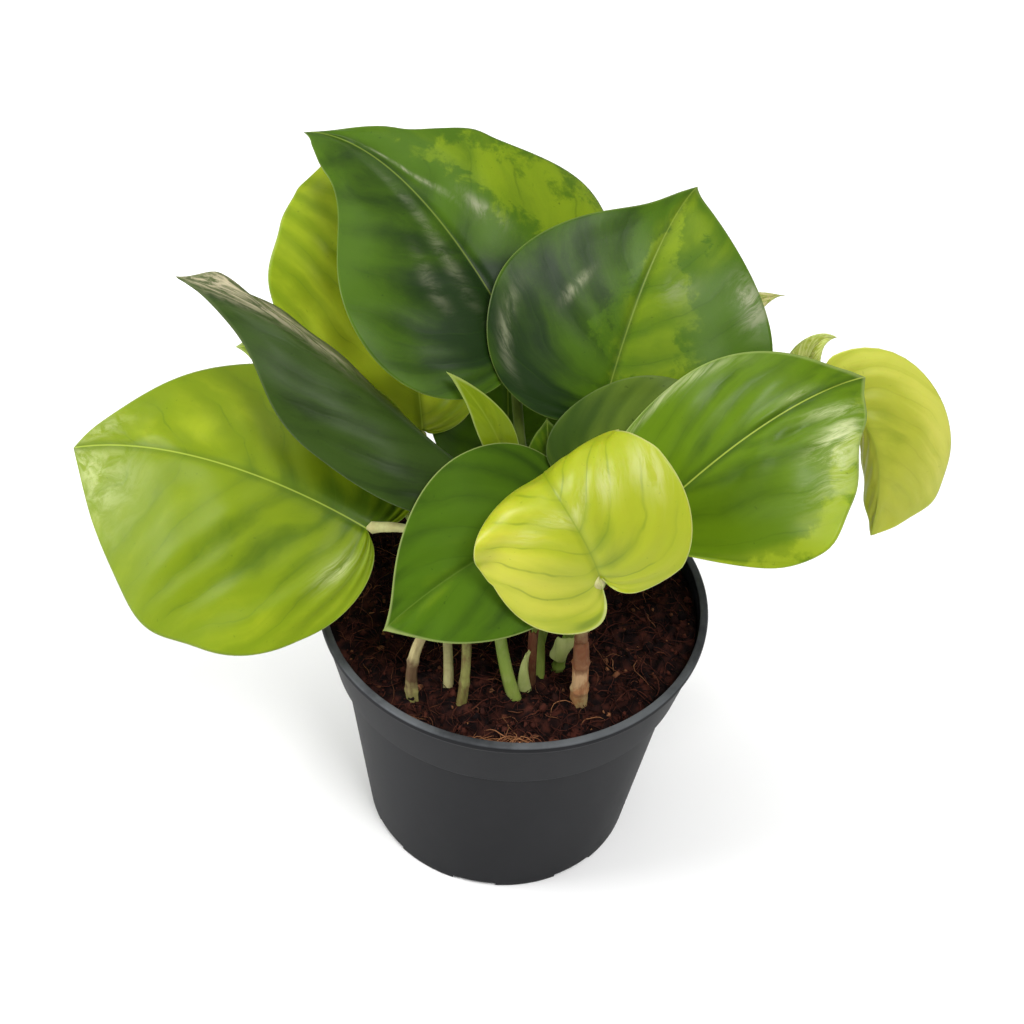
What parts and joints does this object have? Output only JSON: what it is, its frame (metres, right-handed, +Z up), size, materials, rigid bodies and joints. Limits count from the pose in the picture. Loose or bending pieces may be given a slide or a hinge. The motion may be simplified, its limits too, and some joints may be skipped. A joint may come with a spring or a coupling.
{
  "type": "potted pothos plant",
  "caption": "Leafy pothos houseplant with heart-shaped blades on thin stalks, growing in soil in a round plastic nursery pot that stands on its flat base.",
  "frame": {"origin": "middle of the pot's underside, on the surface that it stands on", "axes": "+Z up along the pot's axis, -Y towards the side with the yellow-lime front leaf, +X to the right seen from there"},
  "size_m": [0.2625, 0.1623, 0.2128],
  "materials": {
    "pot": "matt moulded anthracite plastic",
    "soil": "loose dark red-brown coir soil",
    "leaf_dark": "smooth leaf, satin",
    "leaf_green": "smooth leaf, satin",
    "leaf_bright": "smooth leaf, satin",
    "leaf_lime": "smooth leaf, satin",
    "leaf_olive": "matt leaf",
    "stem_green": "smooth green stem",
    "stem_brown": "dry brown stem"
  },
  "bodies": {
    "root": {"pot": "pot", "soil": "soil", "stem_left_brown": "stem_brown", "stem_left_olive": "stem_green", "stem_middle_sheath": "stem_green", "stem_stub_right": "stem_brown", "leaf_left_large": "leaf_bright", "leaf_left_folded": "leaf_dark", "leaf_back_left": "leaf_bright", "leaf_top_large": "leaf_green", "leaf_right_large": "leaf_green", "leaf_right_front": "leaf_green", "leaf_front_low": "leaf_green", "leaf_middle_dark": "leaf_dark", "leaf_front_lime": "leaf_lime", "leaf_far_right": "leaf_olive", "leaf_far_right_young": "leaf_bright", "leaf_centre_young": "leaf_bright", "leaf_back_right": "leaf_bright", "leaf_centre_shade": "leaf_olive", "leaf_low_back_left": "leaf_bright", "leaf_rear_left": "leaf_green", "leaf_rear_right": "leaf_green"}
  },
  "joints": []
}
